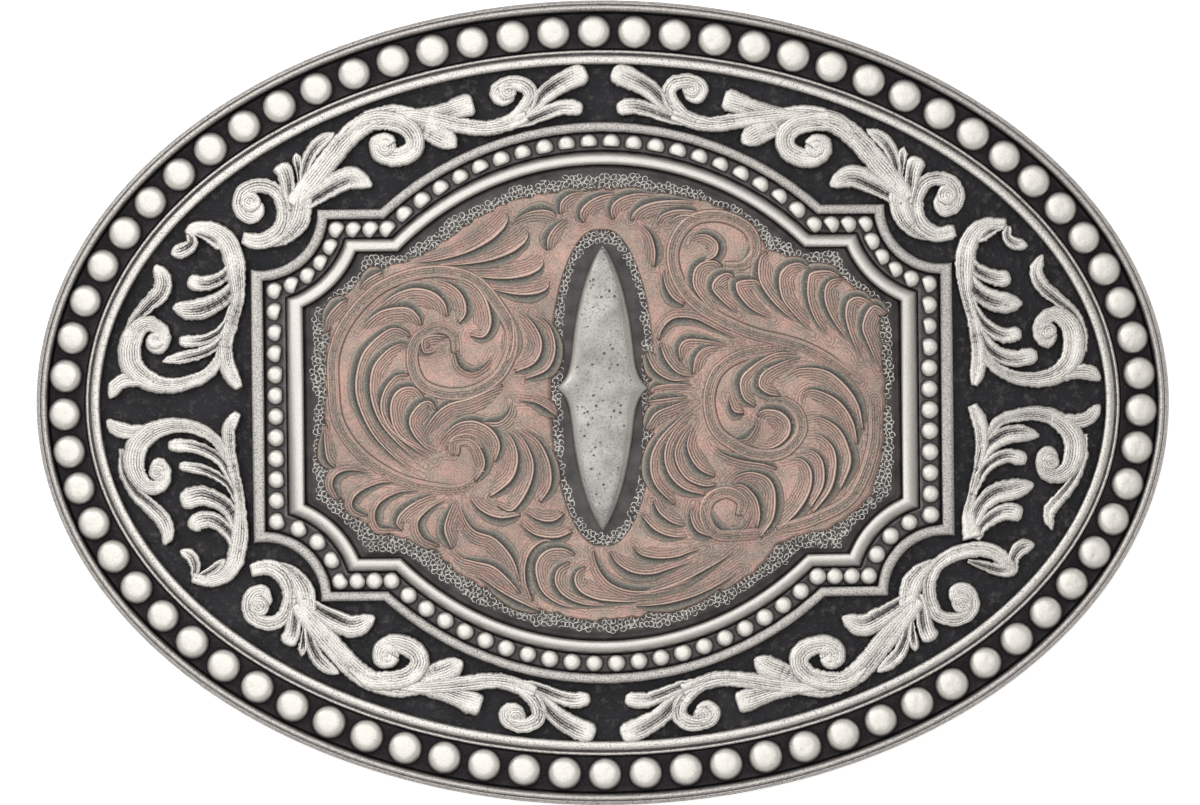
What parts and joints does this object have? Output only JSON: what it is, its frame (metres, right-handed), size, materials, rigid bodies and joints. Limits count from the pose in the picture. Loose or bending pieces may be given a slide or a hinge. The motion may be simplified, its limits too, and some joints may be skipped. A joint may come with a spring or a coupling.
{
  "type": "western belt buckle",
  "caption": "Oval western belt buckle with a beaded edge, raised acanthus scrolls, a framed copper panel with a plain spindle ornament, and a strap loop and hook peg behind.",
  "frame": {"origin": "centre of the bounding box's bottom, on the surface that the loop and the peg rest on", "axes": "+Z out of the face, +X along the oval to the right as seen from the face, +Y up"},
  "size_m": [0.0946, 0.067, 0.0143],
  "materials": {
    "dark_ground": "blackened zinc alloy",
    "antique_silver": "antiqued silver plate, bright tops and dark creases",
    "antique_copper": "antiqued copper plate with dark recesses",
    "back_steel": "satin nickel plate"
  },
  "bodies": {
    "root": {"base_plate": "dark_ground", "edge_rim": "antique_silver", "edge_beads": "antique_silver", "inner_moulding": "antique_silver", "frame_outer_rail": "antique_silver", "frame_beads": "antique_silver", "frame_inner_rail": "antique_silver", "vine_upper_right": "antique_silver", "vine_upper_left": "antique_silver", "vine_lower_left": "antique_silver", "vine_lower_right": "antique_silver", "side_leaf_upper_right": "antique_silver", "side_leaf_upper_left": "antique_silver", "side_leaf_lower_left": "antique_silver", "side_leaf_lower_right": "antique_silver", "center_spindle": "antique_silver", "center_panel": "antique_copper", "strap_loop": "back_steel", "hook_peg": "back_steel"}
  },
  "joints": []
}
